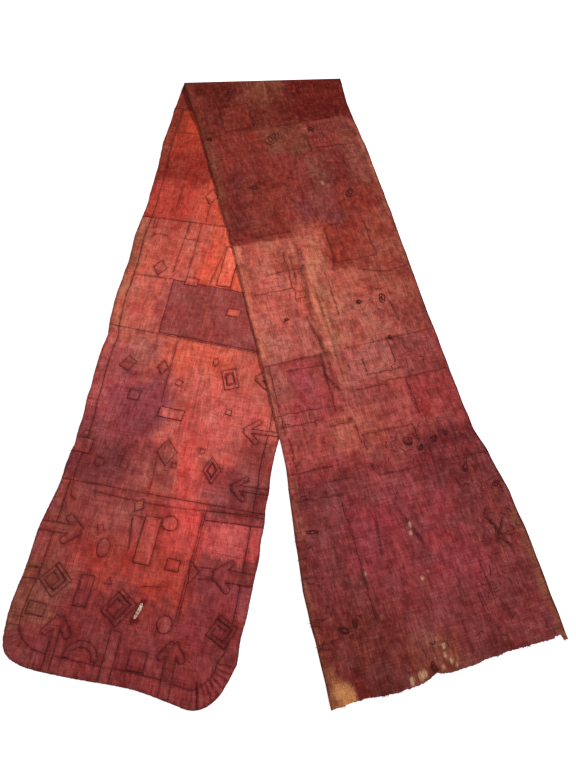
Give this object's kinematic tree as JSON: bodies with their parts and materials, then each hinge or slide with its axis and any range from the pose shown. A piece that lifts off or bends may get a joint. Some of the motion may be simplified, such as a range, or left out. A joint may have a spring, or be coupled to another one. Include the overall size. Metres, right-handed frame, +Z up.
{
  "type": "folded kuba cloth",
  "caption": "Long narrow raffia cloth sewn from woven panels with a border and sewn-on shapes, folded once on a slant and laid flat as two spread legs.",
  "frame": {"origin": "on the surface the cloth lies on, under the middle of its bounding box", "axes": "+Y from the two free ends towards the fold, +X across to the back leg's side, +Z up"},
  "size_m": [1.4382, 2.2797, 0.0135],
  "materials": {
    "face": "matt woven raffia, orange red to maroon dye",
    "reverse": "matt woven raffia, worn maroon, olive and tan dye",
    "border": "matt woven raffia strip, stitched down",
    "plum": "matt woven raffia, plum dye",
    "applied": "matt woven raffia shapes with dark stitched edges"
  },
  "bodies": {
    "root": {"front_panel_1": "face", "front_panel_2": "face", "front_panel_3": "face", "front_panel_end": "face", "fold_panel": "reverse", "back_panel_1": "reverse", "back_panel_2": "reverse", "back_panel_3": "reverse", "back_panel_end": "reverse", "border_left_1": "border", "border_right_1": "border", "border_left_2": "border", "border_right_2": "border", "border_left_3": "border", "border_right_3": "border", "border_end": "border", "plum_patch": "plum", "lozenge_1": "applied", "lozenge_2": "applied", "strip_1": "applied", "tab_1": "applied", "tab_2": "applied", "tab_3": "applied", "lozenge_3": "applied", "square_1": "applied", "oval_1": "applied", "tab_4": "applied", "square_4": "applied", "bar_1": "applied", "kite_1": "applied", "tab_5": "applied", "pennant_1": "applied", "patch_dark": "applied", "patch_light": "applied", "disc_1": "applied", "slab_1": "applied", "oval_2": "applied", "square_2": "applied", "strip_3": "applied", "slab_2": "applied", "disc_2": "applied", "tab_6": "applied", "strip_2": "applied", "square_3": "applied", "nested_1_ring": "applied", "nested_1_core": "applied", "nested_2_ring": "applied", "nested_2_core": "applied", "spiral_1": "applied", "spiral_2": "applied", "spiral_3": "applied", "arrow_1": "applied", "arrow_2": "applied", "arrow_3": "applied", "arrow_4": "applied", "arrow_5": "applied", "arrow_6": "applied", "arrow_7": "applied", "arch": "applied", "fin": "applied"}
  },
  "joints": []
}
